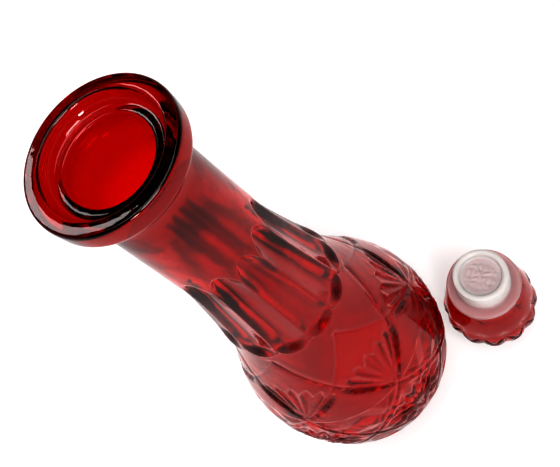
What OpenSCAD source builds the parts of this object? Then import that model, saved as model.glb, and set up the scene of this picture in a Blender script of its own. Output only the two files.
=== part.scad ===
// Pressed glass decanter bottle with a ball stopper, millimetres, +Z up.
// The bottle stands on z = 0 with its axis on Z. The stopper stands upside
// down beside it on the same table, its own axis parallel to Z at x = stopper_x.

/* [Bottle] */
// Height of the bottle from its foot to the top of the lip
bottle_h = 217.8; // [212:0.1:224]
// Largest radius of the lip collar
lip_r = 19.1; // [18.5:0.1:20.5]
// Radius of the fine ridge where the flat lip turns down into the seat
ridge_r = 15.4; // [14.9:0.1:15.9]
// Depth of the seat that takes the plug's flange, below the top of the lip
seat_deep = 3.6; // [3:0.1:4]
// Radius of the straight bore that takes the stopper
bore_r = 11.05; // [10.95:0.01:11.2]
// Length of the straight bore below the seat
bore_len = 18.2; // [14:0.1:22]
// Outside radius of the neck just under the collar
neck_r = 14.1; // [13.9:0.1:14.8]
// Largest radius of the body
belly_r = 42.5; // [41:0.1:42.5]
// Height of the largest radius above the table
belly_z = 39; // [37:0.5:41]
// Radius of the flat foot
foot_r = 25; // [20:0.5:27]
// Glass thickness of the body wall
wall_t = 3.8; // [3:0.1:4.2]
// Glass thickness at the centre of the foot
floor_t = 7; // [5:0.5:9]

/* [Flutes] */
// Number of flutes round the lower neck
flute_n = 12; // [8:1:14]
// Radius of the round cutter that makes a flute
flute_cut_r = 4.6; // [4:0.1:5.2]
// Depth of a flute at its upper end
flute_top_deep = 0.9; // [0.5:0.1:1.2]
// Depth of a flute at its lower end
flute_low_deep = 1.5; // [0.8:0.1:1.8]
// Height of the round upper ends
flute_top_z = 166; // [160:1:170]
// Height of the round lower ends
flute_low_z = 121.5; // [119:0.5:125]
// Turn of the first flute about Z, degrees
pattern_turn = 4.2; // [0:0.1:30]

/* [Stopper head] */
// Distance between the stopper's axis and the bottle's axis
stopper_x = 62.9; // [62.9:0.1:90]
// Largest radius of the glass ball
ball_r = 19.5; // [18.5:0.1:19.5]
// Height of the ball's centre while it stands on its crown
ball_z = 18.8; // [18.6:0.1:18.9]
// Number of lobes round the ball
lobe_n = 12; // [8:1:14]
// Depth of the hollows between the lobes
lobe_deep = 1.1; // [0.6:0.1:1.4]
// Radius of the shoulder that carries the plug's flange
shoulder_r = 13.6; // [12.5:0.1:14]
// Height of that shoulder
shoulder_z = 44; // [42:0.5:45]
// Radius of the glass shank inside the plug
shank_r = 8; // [7.5:0.05:8]

/* [Plug] */
// Radius of the thin wide flange
flange_r = 14.5; // [14:0.1:15.2]
// Thickness of the flange
flange_t = 1.2; // [1:0.1:1.6]
// Radius of the sleeve between its sealing ribs
sleeve_r = 10.3; // [10:0.05:10.4]
// Radius of the sealing ribs
rib_r = 10.95; // [10.7:0.01:10.95]
// Height of the whole plug above the shoulder
plug_h = 12.7; // [12:0.1:14]
// Depth of the round recess in the plug's end
recess_deep = 2; // [1.5:0.1:2.2]
// Radius of that recess
recess_r = 8.2; // [7.8:0.1:8.6]

/* [Hidden] */
// radial running clearance between the plug and the shank
run_gap = 0.05;
// flat gap under the flange
seat_gap = 0.05;
// spline steps between two stations of the body
steps = 3;
// exact circles
$fn = 96;

ruby = [0.66, 0.05, 0.06, 0.85];
milky = [0.84, 0.81, 0.80, 0.9];

// One point of a Catmull-Rom spline through b and c, with neighbours a and d
function cr_point(a, b, c, d, t) =
    0.5 * (2 * b + (c - a) * t
        + (2 * a - 5 * b + 4 * c - d) * t * t
        + (3 * b - a - 3 * c + d) * t * t * t);

// The whole spline through the stations p, its ends included
function spline(p) = [
    for (i = [0 : len(p) - 2])
        for (k = [0 : steps - 1])
            cr_point(p[max(i - 1, 0)], p[i], p[i + 1], p[min(i + 2, len(p) - 1)], k / steps),
    p[len(p) - 1]
];

// Radii below are stated for a body of radius 42.5 and follow belly_r
w = belly_r / 42.5;
// Heights of the body below follow belly_z
up = belly_z - 39;

// Outside of the body and neck, from the foot to the collar
outer_stations = [
    [foot_r, 0],
    [33.0 * w, 5.6],
    [38.9 * w, 15.5],
    [42.0 * w, 28 + up],
    [42.4 * w, 42 + up],
    [40.7 * w, 56 + up],
    [37.5 * w, 67.6 + up],
    [33.9 * w, 78],
    [30.0 * w, 89],
    [26.3 * w, 100],
    [23.2 * w, 111],
    [20.4 * w, 124],
    [18.2 * w, 138],
    [16.7 * w, 152],
    [15.7, 167],
    [14.9, 184],
    [neck_r, bottle_h - 14]
];

// The collar, from the cove under it to the fine ridge on its top
collar = [
    [neck_r, bottle_h - 11.2],
    [neck_r + 0.7, bottle_h - 9.4],
    [neck_r + 2.2, bottle_h - 7.8],
    [lip_r - 1.0, bottle_h - 6.6],
    [lip_r - 0.2, bottle_h - 5.4],
    [lip_r, bottle_h - 4.2],
    [lip_r, bottle_h - 1.5],
    [lip_r - 0.13, bottle_h - 0.7],
    [lip_r - 0.45, bottle_h - 0.33],
    [lip_r - 0.9, bottle_h - 0.2],
    [ridge_r + 0.45, bottle_h],
    [ridge_r, bottle_h - 0.2]
];

// The seat for the plug's flange, then the straight bore
seat = [
    [ridge_r - 0.35, bottle_h - 1.0],
    [ridge_r - 0.85, bottle_h - 2.4],
    [ridge_r - 1.6, bottle_h - seat_deep + 0.2],
    [ridge_r - 2.3, bottle_h - seat_deep],
    [bore_r + 0.5, bottle_h - seat_deep - 0.1],
    [bore_r, bottle_h - 4.6],
    [bore_r, bottle_h - 4.6 - bore_len]
];

// The inside, from the bore down to the centre of the floor
inner_stations = [
    [bore_r + 0.15, 186],
    [bore_r + 0.7, 170],
    [12.9 * w, 153],
    [14.4 * w, 138],
    [16.6 * w, 124],
    [19.4 * w, 111],
    [22.5 * w, 100],
    [26.2 * w, 89],
    [30.1 * w, 78],
    [33.7 * w, 67.6 + up],
    [belly_r - wall_t - 1.8, 56 + up],
    [belly_r - wall_t, 42 + up],
    [belly_r - wall_t - 0.5, 28 + up],
    [34.2 * w, 16.5],
    [27.0, floor_t + 2.5],
    [15.0, floor_t + 0.3],
    [0, floor_t]
];

// Ruby glass bottle: one pressed shell with a fluted neck
module bottle() {
    color(ruby)
    difference() {
        rotate_extrude()
        polygon(concat(
            [[0, 0]],
            spline(outer_stations),
            collar,
            seat,
            spline(inner_stations)
        ));
        for (i = [0 : flute_n - 1])
            rotate([0, 0, pattern_turn + i * 360 / flute_n])
            flute_cutter();
    }
}

// One flute: a round bar with ball ends, leaning along the lower neck
module flute_cutter() {
    top_x = 15.7 + flute_cut_r - flute_top_deep;
    low_x = 21.0 * w + flute_cut_r - flute_low_deep;
    run = flute_top_z - flute_low_z;
    lean = atan((low_x - top_x) / run);
    translate([low_x, 0, flute_low_z])
    rotate([0, -lean, 0]) {
        cylinder(h = run / cos(lean), r = flute_cut_r);
        sphere(r = flute_cut_r);
        translate([0, 0, run / cos(lean)])
        sphere(r = flute_cut_r);
    }
}

// Outside of the stopper head, from its crown to the top of the shank
shank_top = shoulder_z + seat_gap + plug_h - recess_deep - 1.1;
head_outline = concat(
    [for (a = [-72 : 9 : 18]) [ball_r * cos(a), ball_z + ball_r * sin(a)]],
    [
        [18.0, ball_z + 9.7],
        [16.9, ball_z + 13.6],
        [15.5, ball_z + 17.4],
        [14.3, ball_z + 20.6],
        [shoulder_r, shoulder_z - 1.6],
        [shoulder_r - 0.3, shoulder_z - 0.4],
        [shoulder_r - 0.8, shoulder_z],
        [shank_r, shoulder_z],
        [shank_r, shank_top - 0.6],
        [shank_r - 0.6, shank_top],
        [0, shank_top]
    ]
);

// Ruby glass stopper head: lobed ball, smooth shoulder and a round shank
module stopper_head() {
    color(ruby)
    translate([stopper_x, 0, 0])
    difference() {
        rotate_extrude()
        polygon(concat([[0, 0], [ball_r * cos(72), 0]], head_outline));
        for (i = [0 : lobe_n - 1])
            rotate([0, 0, (i + 0.5) * 360 / lobe_n])
            translate([ball_r + 4 - lobe_deep, 0, 2])
            cylinder(h = 32, r = 4);
    }
}

// Milky plastic plug: flange, ribbed sleeve and a recessed end
module stopper_plug() {
    color(milky)
    translate([stopper_x, 0, shoulder_z + seat_gap])
    difference() {
        union() {
            rotate_extrude()
            polygon([
                [0, 0],
                [flange_r - 0.3, 0],
                [flange_r, 0.3],
                [flange_r, flange_t - 0.4],
                [flange_r - 0.4, flange_t],
                [sleeve_r + 0.6, flange_t],
                [sleeve_r, flange_t + 0.6],
                [sleeve_r, plug_h - 1.6],
                [rib_r - 0.35, plug_h - 1.2],
                [rib_r - 0.35, plug_h - 0.7],
                [rib_r - 0.9, plug_h],
                [0, plug_h]
            ]);
            for (z = [3.4, 5.8, 8.2])
                translate([0, 0, z])
                plug_rib();
        }
        translate([0, 0, -1])
        cylinder(h = 1 + plug_h - recess_deep - 0.8, r = shank_r + run_gap);
        translate([0, 0, plug_h - recess_deep])
        cylinder(h = recess_deep + 1, r1 = recess_r - 0.3, r2 = recess_r + 0.15);
    }
}

// One soft sealing rib round the sleeve
module plug_rib() {
    rotate_extrude()
    polygon([
        [sleeve_r - 0.5, -0.7],
        [sleeve_r, -0.7],
        [rib_r, -0.2],
        [rib_r, 0.2],
        [sleeve_r, 0.7],
        [sleeve_r - 0.5, 0.7]
    ]);
}

// Part to draw

bottle();
stopper_head();
stopper_plug();
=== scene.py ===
import bpy
import numpy as np
from mathutils import Matrix, Vector


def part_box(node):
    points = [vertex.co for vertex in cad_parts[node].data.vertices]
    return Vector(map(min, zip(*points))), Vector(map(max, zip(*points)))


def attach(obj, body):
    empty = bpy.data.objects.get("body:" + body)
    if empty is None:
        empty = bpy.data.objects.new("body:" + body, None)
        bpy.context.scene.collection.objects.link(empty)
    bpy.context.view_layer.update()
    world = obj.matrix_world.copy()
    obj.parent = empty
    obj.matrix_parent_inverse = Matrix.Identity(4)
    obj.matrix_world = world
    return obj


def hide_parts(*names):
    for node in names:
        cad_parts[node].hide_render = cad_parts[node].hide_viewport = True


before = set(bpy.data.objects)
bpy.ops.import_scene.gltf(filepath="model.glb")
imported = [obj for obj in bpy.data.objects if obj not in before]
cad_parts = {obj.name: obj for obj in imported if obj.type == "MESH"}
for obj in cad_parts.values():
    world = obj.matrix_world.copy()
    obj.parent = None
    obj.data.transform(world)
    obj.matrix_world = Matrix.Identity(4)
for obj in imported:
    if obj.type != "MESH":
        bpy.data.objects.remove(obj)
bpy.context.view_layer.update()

# ---------------------------------------------------------------------------
# Bottle. Ruby soda-lime glass, pressed and blown in an iron mould, then fire
# polished. The neck carries a sleeve of scooped flutes that ends in round
# tongues on the shoulder, and the body a net of mitre lines, fans and stars.
# ---------------------------------------------------------------------------
STOPPER_X = (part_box("stopper_head")[0][0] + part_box("stopper_head")[1][0]) / 2 * 1000
BOTTLE_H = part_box("bottle")[1][2] * 1000
NET_TURN = 4.2  # degrees, the azimuth of one fan panel
COLUMNS = 252  # a whole number to each panel, so a net line always falls on vertices
STEP = 360.0 / COLUMNS
FLUTE, PANEL = 30.0, 60.0  # degrees: twelve flutes round the neck, six panels round the body
FAN_FOOT, STAR_MIDDLE = 67.6, 45.0  # heights in mm of a fan's low corner and of a star's button
FLOOR = 7.0  # mm, the thickness of the glass in the middle of the foot
NOT_NET = -999.0  # stands in for the net's turn on rows that carry no net


def smooth(x, low, high):
    """0 below low, 1 above high, and the cubic 3t^2 - 2t^3 between them."""
    t = np.clip((x - low) / (high - low), 0.0, 1.0)
    return t * t * (3.0 - 2.0 * t)


def spline(stations, count):
    """A Catmull-Rom curve through the stations (r, z), count steps to each span."""
    p = np.array(stations, float)
    q = np.vstack([p[:1], p, p[-1:]])
    t = np.arange(count)[:, None, None] / count
    a, b, c, d = (q[i : len(q) - 3 + i][None] for i in range(4))
    curve = 0.5 * (2 * b + (c - a) * t + (2 * a - 5 * b + 4 * c - d) * t**2 + (3 * b - a - 3 * c + d) * t**3)
    return np.vstack([curve.transpose(1, 0, 2).reshape(-1, 2), p[-1:]])


BODY = spline(
    [(25.0, 0.0), (33.0, 5.6), (38.9, 15.5), (42.0, 28.0), (42.4, 42.0), (40.7, 56.0), (37.5, 67.6), (33.9, 78.0),
     (30.0, 89.0), (26.3, 100.0), (23.2, 111.0), (20.4, 124.0), (18.2, 138.0), (16.7, 152.0), (15.7, 167.0),
     (14.9, 184.0), (14.1, BOTTLE_H - 14.0)], 12)
# The net's rows: how many degrees a mitre line has turned by each height
NET_TURNS = np.array([-48.0, 0.0, 30.0, 60.0, 90.0, 120.0, 150.0])
NET_HEIGHTS = np.array([150.0, 111.2, 89.0, 67.6, 45.0, 24.0, 8.0])


def net_height(turn):
    """Height in mm at which a mitre line has turned by turn degrees, in straight steps from row to row."""
    return np.interp(turn, NET_TURNS, NET_HEIGHTS)


def off_middle(azimuth, pitch):
    """Degrees from the middle of the nearest repeat, which lies between minus and plus half the pitch."""
    return (azimuth - NET_TURN + pitch / 2) % pitch - pitch / 2


def tongue_edge(azimuth):
    """Lower edge of the fluted sleeve: twelve half-ellipses side by side, 4.3 mm deep."""
    u = off_middle(azimuth, FLUTE) / (FLUTE / 2)
    return 116.2 + 4.3 * (1.0 - np.sqrt(np.clip(1.0 - u * u, 0.0, 1.0)))


def flutes(azimuth, z):
    """Relief of the sleeve in mm: its own thickness, less a scoop across each flute, deepest on its middle line.
    Each scoop stops under a flat arch at the top."""
    u = off_middle(azimuth, FLUTE) / (FLUTE / 2)
    above = z - tongue_edge(azimuth)
    sleeve = 1.35 * np.sqrt(smooth(above, -0.2, 1.5)) * (1.0 - smooth(z, 126.0, 174.0))
    arch = 173.0 - 8.0 * u * u
    deep = 1.3 + 0.6 * smooth(-z, -160.0, -122.0) + 1.0 * smooth(z, 148.0, 166.0)
    ends = smooth(above, 0.9, 6.5) * smooth(arch - z, 0.0, 1.6)
    return sleeve - deep * (1.0 - np.abs(u) ** 1.7) * ends


def net(azimuth, turn):
    """Relief of the net: a V where either family of lines is near, and each panel between swelling by 0.35 mm.
    The lines are fine on the shoulder and deeper among the stars."""
    a = np.abs(off_middle(azimuth + turn, PANEL))
    b = np.abs(off_middle(azimuth - turn, PANEL))
    half_width, swell_width, swell = 1.3, 9.0, 0.35
    line = np.maximum(1.0 - a / half_width, 1.0 - b / half_width)
    cut = -(0.26 + 0.8 * smooth(turn, 62.0, 74.0)) * np.clip(line, 0.0, 1.0)
    rise_a = 1.0 - 0.9 * (1.0 - np.clip(a / swell_width, 0, 1)) ** 2
    rise_b = 1.0 - 0.9 * (1.0 - np.clip(b / swell_width, 0, 1)) ** 2
    return cut + swell * rise_a * rise_b - swell


def fans(azimuth, turn, z, r):
    """Fan in each panel of the second row: seven V-cuts from the panel's low corner, each ending in a point. The
    surface leans, so a height is stretched by 1.13 to give the distance along it."""
    x = np.radians(off_middle(azimuth, PANEL)) * r
    y = (z - FAN_FOOT) * 1.13
    reach = np.hypot(x, y)
    spread = np.degrees(np.arctan2(x, np.maximum(y, 1e-6)))
    half, blades = 44.0, 7.0
    blade = (spread + half) / (2 * half) * blades
    part = np.abs(blade - np.floor(blade) - 0.5) * 2.0  # 0 on a blade's middle line, 1 on its sides
    inside = (blade > 0.0) & (blade < blades) & (turn > 4.0) & (turn < 60.0)
    tip = 27.0 - 4.8 * part - 3.5 * (np.abs(spread) / half) ** 2
    side = (1.0 - part) * reach * np.radians(half / blades)
    cut = np.clip(np.minimum(side * 0.5, (tip - reach) * 0.75), 0.0, 0.8)
    bed = 0.3 * smooth(tip + 0.9 - reach, 0.0, 0.9) * smooth(reach, 1.0, 4.0)
    return np.where(inside, -cut - bed, 0.0)


def stars(azimuth, turn, z, r):
    """Star in each diamond of the fourth row: twelve V-cut rays round a small button, with a ring cut across them
    9.5 mm out."""
    x = np.radians(off_middle(azimuth, PANEL)) * r
    y = (z - STAR_MIDDLE) * 1.02
    reach = np.hypot(x, y)
    ray_pitch = 30.0
    part = np.abs(np.degrees(np.arctan2(y, x)) % ray_pitch / ray_pitch - 0.5) * 2.0
    # Room is how far the point lies inside the diamond's own lines, past a plain margin of 3 degrees
    room = np.minimum(np.abs(off_middle(azimuth + turn, PANEL)), np.abs(off_middle(azimuth - turn, PANEL))) - 3.0
    inside = (turn > 60.0) & (turn < 120.0)
    depth = 1.5 * (1.0 - 0.55 * smooth(reach, 8.0, 17.0))
    ray = -depth * (1.0 - part) * smooth(reach, 1.6, 4.2) * smooth(room, 0.0, 3.0)
    ring = -0.6 * np.exp(-((reach - 9.5) ** 2))
    return np.where(inside, ray + ring, 0.0)


def bottle_rows():
    """Every row of the bottle from the rim of the foot, up the outside, over the lip and down inside, as
    (r, z, outward r, outward z, net turn) in mm, with the outward direction square to the profile. Also the
    number of rows below the collar, and the row where the cavity starts."""
    turns = np.arange(150.0, -3.01, -STEP / 2)
    z_net = net_height(turns)
    # The rows' heights are eased with a bell-shaped window, so that the net's lines bend smoothly
    bell = np.hanning(49)
    eased = np.convolve(np.pad(z_net, 24, mode="reflect", reflect_type="odd"), bell / bell.sum(), "valid")
    z_net = np.where((turns > 15) & (turns < 135), eased, z_net)
    # Close rows at the tongues and at the tops of the flutes, wider ones where the neck is plain
    z_sleeve = np.concatenate([
        np.arange(z_net[-1] + 0.35, 124.0, 0.5), np.arange(124.6, 164.0, 1.5),
        np.arange(164.6, 174.0, 0.75), np.arange(175.5, BOTTLE_H - 14.0, 3.0)])
    z_foot = np.array([0.0, 0.5, 1.4, 2.8, 4.6, 6.4])
    z_all = np.concatenate([z_foot, z_net, z_sleeve])
    turn = np.concatenate([np.full(len(z_foot), 170.0), turns, np.full(len(z_sleeve), NOT_NET)])
    r_all = np.interp(z_all, BODY[:, 1], BODY[:, 0])
    outside = np.stack([r_all, z_all], 1)
    h = BOTTLE_H
    # Collar: a cove, a plain band and a nearly flat lip
    collar = spline([
        (14.1, h - 11.2), (14.8, h - 9.4), (16.3, h - 7.8), (18.1, h - 6.6), (18.9, h - 5.4), (19.1, h - 4.2),
        (19.1, h - 1.4), (18.97, h - 0.55), (18.65, h - 0.15), (18.2, h - 0.03), (17.3, h - 0.02), (16.5, h - 0.04),
        (15.9, h - 0.1)], 3)
    # Seat: a steep wall down to a flat ledge that takes the plug's flange, rounded off into the bore
    seat = spline([
        (15.55, h - 0.2), (15.3, h - 0.45), (15.05, h - 1.0), (14.55, h - 2.4), (13.8, h - 3.4), (13.1, h - 3.6),
        (12.2, h - 3.62), (11.55, h - 3.7), (11.2, h - 4.0), (11.05, h - 4.6)], 2)
    bore = np.array([(11.05, h - 9.0), (11.05, h - 14.0), (11.05, h - 22.8)])
    inside = spline([
        (11.2, 186.0), (11.75, 170.0), (12.9, 153.0), (14.4, 138.0), (16.6, 124.0), (19.4, 111.0), (22.5, 100.0),
        (26.2, 89.0), (30.1, 78.0), (33.7, 67.6), (36.9, 56.0), (38.7, 42.0), (38.2, 28.0), (34.2, 16.5),
        (27.0, 9.5), (15.0, 7.3), (3.0, FLOOR)], 2)
    rows = np.vstack([outside, collar, seat, bore, inside])
    turn = np.concatenate([turn, np.full(len(rows) - len(turn), NOT_NET)])
    along = np.gradient(rows, axis=0)
    along /= np.maximum(np.hypot(along[:, 0], along[:, 1]), 1e-9)[:, None]
    return np.column_stack([rows, along[:, 1], -along[:, 0], turn]), len(z_all), len(rows) - len(inside)


def lathe_mesh(name, points, first_pole, last_pole):
    """A closed mesh from rings of points, shape (rows, columns, 3) in mm. Each ring is half a column on from the
    one before it, so its triangles lean both ways and a slanting line of vertices stays a clean edge."""
    rows, columns = points.shape[:2]
    verts = np.vstack([points.reshape(-1, 3), [first_pole], [last_pole]]) / 1000.0
    i = np.arange(columns)
    j = np.arange(rows - 1)[:, None]
    here, there = j * columns, (j + 1) * columns
    on = (i + 1) % columns
    odd = j % 2
    low_a = np.stack(np.broadcast_arrays(here + i, here + on, there + np.where(odd, on, i)), -1)
    low_b = np.stack(np.broadcast_arrays(here + np.where(odd, i, on), there + on, there + i), -1)
    first = np.stack([np.full(columns, rows * columns), on, i], 1)
    last = np.stack([np.full(columns, rows * columns + 1), (rows - 1) * columns + i, (rows - 1) * columns + on], 1)
    faces = np.vstack([low_a.reshape(-1, 3), low_b.reshape(-1, 3), first, last])
    mesh = bpy.data.meshes.new(name)
    mesh.vertices.add(len(verts))
    mesh.vertices.foreach_set("co", verts.ravel())
    mesh.loops.add(faces.size)
    mesh.loops.foreach_set("vertex_index", faces.ravel().astype(np.int32))
    mesh.polygons.add(len(faces))
    mesh.polygons.foreach_set("loop_start", np.arange(0, faces.size, 3, dtype=np.int32))
    mesh.polygons.foreach_set("loop_total", np.full(len(faces), 3, dtype=np.int32))
    mesh.polygons.foreach_set("use_smooth", np.ones(len(faces), bool))
    mesh.update(calc_edges=True)
    mesh.validate()
    piece = bpy.data.objects.new(name, mesh)
    bpy.context.scene.collection.objects.link(piece)
    return piece


def bottle_points():
    """The bottle's rings: the profile turned about Z, moved square to itself by the relief of net, fans, stars and
    flutes on the outside, and by a slow swell of a tenth of a millimetre on the inside."""
    rows, outside, inside_from = bottle_rows()
    r, z, out_r, out_z, turn = rows.T[:, :, None]
    j = np.arange(len(rows))[:, None]
    azimuth = (np.arange(COLUMNS)[None, :] + 0.5 * (j % 2)) * STEP + NET_TURN
    on_body = (turn > NOT_NET) & (turn < 165)
    fade = smooth(-z, -112.5, -110.5) * smooth(z, 3.0, 9.0)
    pattern = net(azimuth, turn) + fans(azimuth, turn, z, r) + stars(azimuth, turn, z, r)
    relief = np.where(on_body, pattern * fade, 0.0)
    relief = relief + np.where(j < outside, flutes(azimuth, z) * (z > 100), 0.0)
    t = np.radians(azimuth)
    slow = 0.1 * np.sin(5 * t + z / 9.0) * np.sin(3 * t - z / 14.0 + 1.0)
    swell = slow + 0.03 * np.sin(12 * t + 0.5 * np.sin(z / 11.0))
    relief = relief + np.where(j >= inside_from + 2, swell * smooth(r, 3.0, 12.0), 0.0)
    ring_r = r + relief * out_r
    points = np.stack([ring_r * np.cos(t), ring_r * np.sin(t), z + relief * out_z + 0 * t], -1)
    return points, inside_from


def srgb(code):
    """An sRGB hex colour as linear red, green, blue and 1."""
    c = np.array([int(code[i : i + 2], 16) for i in (1, 3, 5)]) / 255.0
    return tuple(np.where(c <= 0.04045, c / 12.92, ((c + 0.055) / 1.055) ** 2.4)) + (1.0,)


def add(tree, kind, inputs=(), **settings):
    """A node with its settings, and its inputs either set to a value or linked from another node's socket."""
    made = tree.nodes.new(kind)
    for key, value in settings.items():
        setattr(made, key, value)
    for key, value in dict(inputs).items():
        if isinstance(value, bpy.types.NodeSocket):
            tree.links.new(value, made.inputs[key])
        else:
            made.inputs[key].default_value = value
    return made


def ruby_glass(name, depth, lip=False):
    """Pressed selenium ruby glass: IOR 1.52, a wall that passes red and stops green and blue, and a fire-polished
    skin with a slow ripple a few millimetres long. Thin walls glow scarlet and long paths go nearly black. Depth is
    how strongly it soaks up light, per metre. With lip set, the top of the neck is mixed towards a deeper red: partly
    the deeper strike of glass that was reheated more, and partly painted shade, standing in for the shaded table seen
    through the mouth. The chilled inside of the blow is dull, so the far wall shows only as a blur."""
    made = bpy.data.materials.new(name)
    made.use_nodes = True
    tree = made.node_tree
    tree.nodes.clear()
    place = add(tree, "ShaderNodeTexCoord").outputs["Object"]
    slow = add(tree, "ShaderNodeTexNoise", {  # swells 9 mm apart
        "Vector": place, "Scale": 1000.0 / 9.0, "Detail": 2.0, "Roughness": 0.45})
    fine = add(tree, "ShaderNodeTexNoise", {  # the mould's skin, softened by the fire, 2.2 mm apart
        "Vector": place, "Scale": 1000.0 / 2.2, "Detail": 3.0, "Roughness": 0.5})
    skin = add(tree, "ShaderNodeMath", {
        0: fine.outputs["Fac"], 1: 0.12, 2: slow.outputs["Fac"]}, operation="MULTIPLY_ADD")
    bump = add(tree, "ShaderNodeBump", {"Height": skin.outputs[0], "Strength": 0.2, "Distance": 0.0006})
    handled = add(tree, "ShaderNodeMapRange", {
        "Value": slow.outputs["Fac"], "From Min": 0.35, "From Max": 0.7, "To Min": 0.0, "To Max": 0.035})
    chilled = add(tree, "ShaderNodeAttribute", attribute_name="dull")
    rough = add(tree, "ShaderNodeMath", {
        0: chilled.outputs["Fac"], 1: 0.22, 2: handled.outputs["Result"]}, operation="MULTIPLY_ADD")
    colour = srgb("#ee3838")
    if lip:
        # Painted shade, with the deeper strike of the reheated lip: the top of the neck is mixed towards a deeper red
        struck_and_painted_shade = add(tree, "ShaderNodeAttribute", attribute_name="struck_and_painted_shade")
        deeper = add(tree, "ShaderNodeMix", {
            "Factor": struck_and_painted_shade.outputs["Fac"], "A": colour, "B": srgb("#c83a3a")}, data_type="RGBA")
        colour = deeper.outputs["Result"]
    glass = add(tree, "ShaderNodeBsdfPrincipled", {
        "Base Color": colour, "Roughness": rough.outputs[0], "IOR": 1.52,
        "Transmission Weight": 1.0, "Normal": bump.outputs["Normal"]})
    soak = add(tree, "ShaderNodeVolumeAbsorption", {"Color": srgb("#fb0a0a"), "Density": depth})
    add(tree, "ShaderNodeOutputMaterial", {"Surface": glass.outputs[0], "Volume": soak.outputs[0]})
    return made


def paint(piece, name, values):
    """A named number on every vertex of a piece, which its material reads as an attribute."""
    piece.data.attributes.new(name, "FLOAT", "POINT").data.foreach_set("value", values.astype(np.float32))


rings, inside_from = bottle_points()
bottle = lathe_mesh("ruby_bottle", rings, (0.0, 0.0, 0.0), (0.0, 0.0, FLOOR))
heights = np.append(rings[..., 2].ravel(), [0.0, FLOOR])
# Dull inside from the foot of the bore down, less so in the neck; clear outside and in the middle of the foot
dull = 1.0 - 0.4 * smooth(heights, 118.0, 150.0)
dull[: (inside_from - 2) * COLUMNS] = 0.0
dull[-2] = 0.0
paint(bottle, "dull", dull)
# Painted shade with the lip's deeper strike: deeper red from 190 mm, fully from 202 mm up, darkening the mouth
paint(bottle, "struck_and_painted_shade", smooth(heights, 190.0, 202.0))
bottle.data.materials.append(ruby_glass("ruby glass, pressed and fire polished", 700.0, lip=True))
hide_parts("bottle")
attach(bottle, "bottle")

# ---------------------------------------------------------------------------
# Stopper head. The same ruby glass, a solid pressed ball with twelve lobes and
# a diamond net round its crown. It stands on the crown, with its smooth
# shoulder and its round shank upwards.
# ---------------------------------------------------------------------------
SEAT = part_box("stopper_plug")[0][2] * 1000 - 0.05
SHANK_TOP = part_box("stopper_head")[1][2] * 1000
BALL_R, BALL_Z = 19.5, 18.8  # mm, the ball's radius and the height of its middle
CROWN = -72.0  # degrees, the lowest latitude that is turned; a small flat facet closes the ball there
HEAD_COLUMNS = 240


def head_points():
    """The ball turned about its own axis and moved square to itself: twelve lobes round the widest part, the
    absolute sine of six times the azimuth to the power 0.8, crossed by leaning V-cuts that make a net of diamonds
    below the shoulder."""
    lean = np.radians(np.linspace(CROWN, 20.0, 93))
    ball = np.stack([BALL_R * np.cos(lean), BALL_Z + BALL_R * np.sin(lean)], 1)
    shoulder = spline([
        (18.2, BALL_Z + 6.9), (17.6, BALL_Z + 9.7), (16.7, BALL_Z + 13.4), (15.5, BALL_Z + 17.4),
        (14.3, BALL_Z + 20.6), (13.6, SEAT - 1.6), (13.3, SEAT - 0.45), (12.8, SEAT - 0.02)], 4)
    shank = np.array([
        (10.5, SEAT), (8.4, SEAT), (8.02, SEAT + 0.02), (8.0, SEAT + 0.4), (8.0, SEAT + 4.0),
        (8.0, SHANK_TOP - 0.7), (7.8, SHANK_TOP - 0.2), (7.3, SHANK_TOP), (3.0, SHANK_TOP)])
    rows = np.vstack([ball, shoulder[1:], shank])
    along = np.gradient(rows, axis=0)
    along /= np.maximum(np.hypot(along[:, 0], along[:, 1]), 1e-9)[:, None]
    r, z, out_r, out_z = (c[:, None] for c in (rows[:, 0], rows[:, 1], along[:, 1], -along[:, 0]))
    j = np.arange(len(rows))[:, None]
    azimuth = (np.arange(HEAD_COLUMNS)[None, :] + 0.5 * (j % 2)) * 360.0 / HEAD_COLUMNS
    lobe = np.abs(np.sin(np.radians(azimuth * 6.0)))
    belt = smooth(z, 3.0, 9.0) * smooth(-z, -30.0, -24.5)
    relief = -1.15 * (1.0 - lobe**0.8) * belt
    turn = (z - BALL_Z) * 2.4
    a = np.abs((azimuth + turn) % 30.0 - 15.0) / 15.0
    b = np.abs((azimuth - turn) % 30.0 - 15.0) / 15.0
    line = np.clip(1.0 - np.minimum(a, b) / 0.22, 0, 1)
    relief = relief - 0.85 * line * smooth(z, 1.2, 4.0) * smooth(-z, -25.0, -22.0)
    t = np.radians(azimuth)
    ring_r = r + relief * out_r
    return np.stack([STOPPER_X + ring_r * np.cos(t), ring_r * np.sin(t), z + relief * out_z + 0 * t], -1)


crown = (STOPPER_X, 0.0, BALL_Z + BALL_R * np.sin(np.radians(CROWN)))
head = lathe_mesh("ruby_stopper_head", head_points(), crown, (STOPPER_X, 0.0, SHANK_TOP))
head.data.materials.append(ruby_glass("ruby glass, solid pressed", 260.0))
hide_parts("stopper_head")
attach(head, "stopper")

# ---------------------------------------------------------------------------
# Plug. Natural low-density polyethylene, injection moulded: a thin flange, a
# sleeve with soft sealing ribs, and a recessed end with the mould's faint
# cross. It is pushed over the glass shank and holds by friction.
# ---------------------------------------------------------------------------
PLUG_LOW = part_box("stopper_plug")[0][2] * 1000
PLUG_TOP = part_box("stopper_plug")[1][2] * 1000
PLUG_FLOOR = PLUG_TOP - 2.0  # the recess in its end is 2 mm deep
PLUG_ROOF = PLUG_TOP - 2.8  # and the floor of the recess 0.8 mm thick
SHANK_R = 8.05  # mm, the bore that grips the glass shank
FLOOR_ROWS, PLUG_COLUMNS = 34, 192


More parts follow.
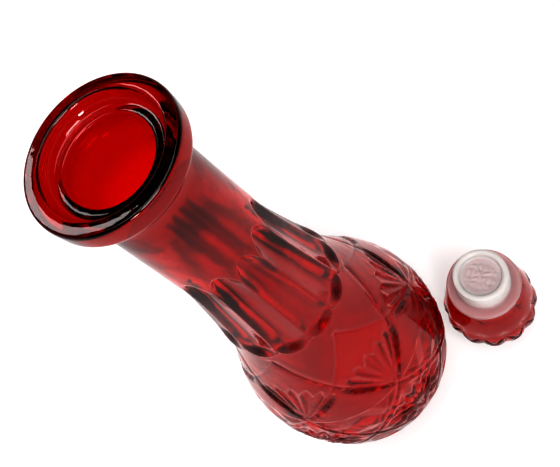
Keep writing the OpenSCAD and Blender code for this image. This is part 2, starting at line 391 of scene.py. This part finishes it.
def plug_points():
    """The plug's profile from the edge of its bore, out along the flange, up the ribbed sleeve, over the rolled
    rim and in across the recessed floor. That floor carries a raised cross, a ring round the gate mark, and the
    faint sink marks of a thick moulding."""
    z0, z1 = PLUG_LOW, PLUG_TOP
    flange = spline([
        (SHANK_R, z0), (14.1, z0), (14.42, z0 + 0.12), (14.5, z0 + 0.45), (14.45, z0 + 0.85), (14.1, z0 + 1.15),
        (13.3, z0 + 1.2), (11.3, z0 + 1.22), (10.6, z0 + 1.45), (10.3, z0 + 2.0)], 3)
    zs = np.linspace(z0 + 2.2, z1 - 2.0, 46)
    ribs = sum(np.exp(-(((zs - z0 - at) / 0.36) ** 2)) for at in (3.4, 5.8, 8.2))
    sleeve = np.stack([10.3 + 0.62 * ribs, zs], 1)
    rim = spline([
        (10.3, z1 - 1.8), (10.55, z1 - 1.3), (10.6, z1 - 0.8), (10.35, z1 - 0.25), (9.8, z1 - 0.02),
        (9.1, z1 - 0.02), (8.5, z1 - 0.25), (8.15, z1 - 0.8), (8.0, z1 - 1.5), (7.7, z1 - 1.92), (7.2, PLUG_FLOOR)], 3)
    floor = np.stack([np.linspace(7.0, 0.25, FLOOR_ROWS), np.full(FLOOR_ROWS, PLUG_FLOOR)], 1)
    rows = np.vstack([flange, sleeve, rim, floor])
    r, z = rows[:, 0][:, None], rows[:, 1][:, None]
    j = np.arange(len(rows))[:, None]
    t = np.radians((np.arange(PLUG_COLUMNS)[None, :] + 0.5 * (j % 2)) * 360.0 / PLUG_COLUMNS)
    x, y = r * np.cos(t), r * np.sin(t)
    on_floor = j >= len(rows) - FLOOR_ROWS
    bar = np.maximum(np.exp(-((x / 0.45) ** 2)), np.exp(-((y / 0.45) ** 2))) * smooth(-r, -5.6, -3.4)
    gate = np.exp(-(((r - 1.7) / 0.5) ** 2))
    sink = 0.12 * np.sin(1.9 * x + 0.8 * y + 1.3 * np.sin(1.1 * y)) * np.sin(1.4 * y - 0.6 * x) * smooth(-r, -7.0, -5.0)
    rise = np.where(on_floor, 0.16 * bar + 0.14 * gate + sink, 0.0)
    return np.stack([STOPPER_X + x, y, z + rise], -1)


def plug_walls(points):
    """The same rings with the bore added before them, so that the plug is a cup: across the roof of its bore and
    down the bore's wall. Also a weight for each point, 1 on the flange, less low on the sleeve and in the recess, for
    how thin the plastic looks there: it sets how much light passes through, and how much painted red glow, standing
    in for the light of the glass under the plastic, goes into its colour."""
    middle = (PLUG_LOW + PLUG_ROOF) / 2
    bore = np.array([(2.0, PLUG_ROOF), (SHANK_R, PLUG_ROOF), (SHANK_R, middle), (SHANK_R, PLUG_LOW + 0.02)])
    t = np.radians((np.arange(PLUG_COLUMNS)[None, :] + 0.5 * (np.arange(4)[:, None] % 2)) * 360.0 / PLUG_COLUMNS)
    low = np.stack([STOPPER_X + bore[:, :1] * np.cos(t), bore[:, :1] * np.sin(t), bore[:, 1:] + 0 * t], -1)
    walls = np.vstack([low, points])
    r, z = np.hypot(walls[..., 0] - STOPPER_X, walls[..., 1]), walls[..., 2]
    # Painted red glow from the glass below, and how much light passes: 1 on the flange, 0.45 in the recess, 0.75 low on
    # the sleeve
    flange = smooth(r, 10.4, 11.4)
    recess = 0.45 * smooth(-r, -8.1, -6.6) * smooth(z, PLUG_ROOF - 0.4, PLUG_ROOF - 0.1)
    sleeve_foot_glow = 0.75 * smooth(-z, -(PLUG_LOW + 5.0), -(PLUG_LOW + 1.5))
    return walls, np.maximum(np.maximum(flange, recess), sleeve_foot_glow)


def polyethylene():
    """Natural LDPE: a milky, waxy plastic that lets light in and scatters it, moulded with a fine satin skin, so
    its thick rim looks white and its thin flange takes on the red of the glass under it. Part of that red is
    painted into the colour, as a pink glow where the plastic is thin over the glass."""
    made = bpy.data.materials.new("natural polyethylene, injection moulded")
    made.use_nodes = True
    tree = made.node_tree
    tree.nodes.clear()
    place = add(tree, "ShaderNodeTexCoord").outputs["Object"]
    flow = add(tree, "ShaderNodeTexNoise", {"Vector": place, "Scale": 1000.0 / 6.0, "Detail": 3.0, "Roughness": 0.55})
    grain = add(tree, "ShaderNodeTexNoise", {"Vector": place, "Scale": 1000.0 / 0.5, "Detail": 2.0})
    milk = add(tree, "ShaderNodeMix", {
        "Factor": flow.outputs["Fac"], "A": srgb("#ece9e7"), "B": srgb("#dfdad8")}, data_type="RGBA")
    # Painted red glow: where the plastic lies thin over the ruby glass, its colour is mixed towards pink, standing in
    # for the glass's light
    thin = add(tree, "ShaderNodeAttribute", attribute_name="thin")
    painted_red_glow = add(tree, "ShaderNodeMath", {0: thin.outputs["Fac"], 1: 0.7}, operation="MULTIPLY")
    colour = add(tree, "ShaderNodeMix", {
        "Factor": painted_red_glow.outputs[0], "A": milk.outputs["Result"], "B": srgb("#eebcbe")}, data_type="RGBA")
    clear = add(tree, "ShaderNodeMath", {0: thin.outputs["Fac"], 1: 0.4, 2: 0.08}, operation="MULTIPLY_ADD")
    sheen = add(tree, "ShaderNodeMapRange", {"Value": flow.outputs["Fac"], "To Min": 0.28, "To Max": 0.45})
    bump = add(tree, "ShaderNodeBump", {"Height": grain.outputs["Fac"], "Strength": 0.2, "Distance": 0.0001})
    body = add(tree, "ShaderNodeBsdfPrincipled", {
        "Base Color": colour.outputs["Result"], "Roughness": sheen.outputs["Result"], "IOR": 1.51,
        "Transmission Weight": clear.outputs[0], "Subsurface Weight": 0.6,
        "Subsurface Radius": (0.002, 0.0018, 0.0016), "Subsurface Scale": 1.0, "Normal": bump.outputs["Normal"]})
    add(tree, "ShaderNodeOutputMaterial", {"Surface": body.outputs[0]})
    return made


rings, thin = plug_walls(plug_points())
plug = lathe_mesh("milky_plug", rings, (STOPPER_X, 0.0, PLUG_ROOF), (STOPPER_X, 0.0, PLUG_FLOOR + 0.22))
# Painted red glow and see-through weight, on every vertex of the plug
paint(plug, "thin", np.append(thin.ravel(), [1.0, 1.0]))
plug.data.materials.append(polyethylene())
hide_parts("stopper_plug")
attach(plug, "plug")

# ---------------------------------------------------------------------------
# Table, light and camera. A pale matt light table, a wide panel overhead, a
# softbox in front and two small windows that draw the streaks on the lip, and
# a camera that looks steeply down on the mouth, turned on its own axis.
# ---------------------------------------------------------------------------
TABLE = bpy.data.meshes.new("table")
TABLE.from_pydata([(-4, -4, 0), (4, -4, 0), (4, 4, 0), (-4, 4, 0)], [], [(0, 1, 2, 3)])
table = bpy.data.objects.new("table", TABLE)
bpy.context.scene.collection.objects.link(table)
paper = bpy.data.materials.new("matt white paper")
paper.use_nodes = True
paper.node_tree.nodes.clear()
tree = paper.node_tree
# The sheet is lit a little from below, so that it stays pale under the glass and through it
sheet = add(tree, "ShaderNodeBsdfDiffuse", {"Color": srgb("#d8d8d8")})
lit = add(tree, "ShaderNodeEmission", {"Color": srgb("#ffffff"), "Strength": 0.38})
both = add(tree, "ShaderNodeAddShader", {0: sheet.outputs[0], 1: lit.outputs[0]})
add(tree, "ShaderNodeOutputMaterial", {"Surface": both.outputs[0]})
TABLE.materials.append(paper)

world = bpy.data.worlds.new("studio")
world.use_nodes = True
bpy.context.scene.world = world
sky = world.node_tree
sky.nodes.clear()
# The studio is pale round the horizon and dark overhead, so that only the lights show in the glass
toward = add(sky, "ShaderNodeTexCoord").outputs["Generated"]
height = add(sky, "ShaderNodeSeparateXYZ", {"Vector": toward})
shade = add(sky, "ShaderNodeValToRGB", {"Fac": height.outputs["Z"]})
for stop, position, grey in zip(shade.color_ramp.elements, (0.12, 0.42), (0.42, 0.04)):
    stop.position, stop.color = position, (grey, grey, grey, 1)
glow = add(sky, "ShaderNodeBackground", {"Color": shade.outputs["Color"], "Strength": 1.0})
add(sky, "ShaderNodeOutputWorld", {"Surface": glow.outputs[0]})


def soft_light(name, place, target, size, watts):
    """A square area light at place, facing target, with its side as size, all in mm."""
    lamp = bpy.data.lights.new(name, "AREA")
    lamp.shape = "SQUARE"
    lamp.size = size / 1000.0
    lamp.energy = watts
    holder = bpy.data.objects.new(name, lamp)
    holder.location = Vector(place) / 1000.0
    holder.rotation_euler = (Vector(target) - Vector(place)).to_track_quat("-Z", "Y").to_euler()
    bpy.context.scene.collection.objects.link(holder)


soft_light("front softbox", (330, -640, 1250), (0, 0, 150), 520, 8.0)
soft_light("overhead panel", (-60, 60, 1400), (0, 0, 200), 900, 6.5)
soft_light("side window", (-610, 512, 934), (0, 0, 200), 320, 1.9)
soft_light("front window", (60, -1050, 560), (20, 0, 100), 200, 3.2)

CAMERA_AZIMUTH, CAMERA_ELEVATION, CAMERA_ROLL = -63.714, 59.875, 45.824  # degrees
CAMERA_AIM, CAMERA_DISTANCE, LENS = (3.0, 25.4, 104.3), 250.0, 44.296  # mm
turn, rise = np.radians(CAMERA_AZIMUTH), np.radians(CAMERA_ELEVATION)
back = Vector((np.cos(turn) * np.cos(rise), np.sin(turn) * np.cos(rise), np.sin(rise)))
lens = bpy.data.cameras.new("camera")
lens.lens = LENS
lens.sensor_width = 36.0
lens.clip_start, lens.clip_end = 0.01, 50.0
camera = bpy.data.objects.new("camera", lens)
facing = back.to_track_quat("Z", "Y").to_matrix().to_4x4()
spin = Matrix.Rotation(np.radians(-CAMERA_ROLL), 4, "Z")
camera.matrix_world = Matrix.Translation((Vector(CAMERA_AIM) + back * CAMERA_DISTANCE) / 1000.0) @ facing @ spin
bpy.context.scene.collection.objects.link(camera)
bpy.context.scene.camera = camera

grade = bpy.context.scene.view_settings
grade.view_transform = "Standard"
grade.look = "Medium High Contrast"
grade.exposure = 0.05
grade.gamma = 0.62
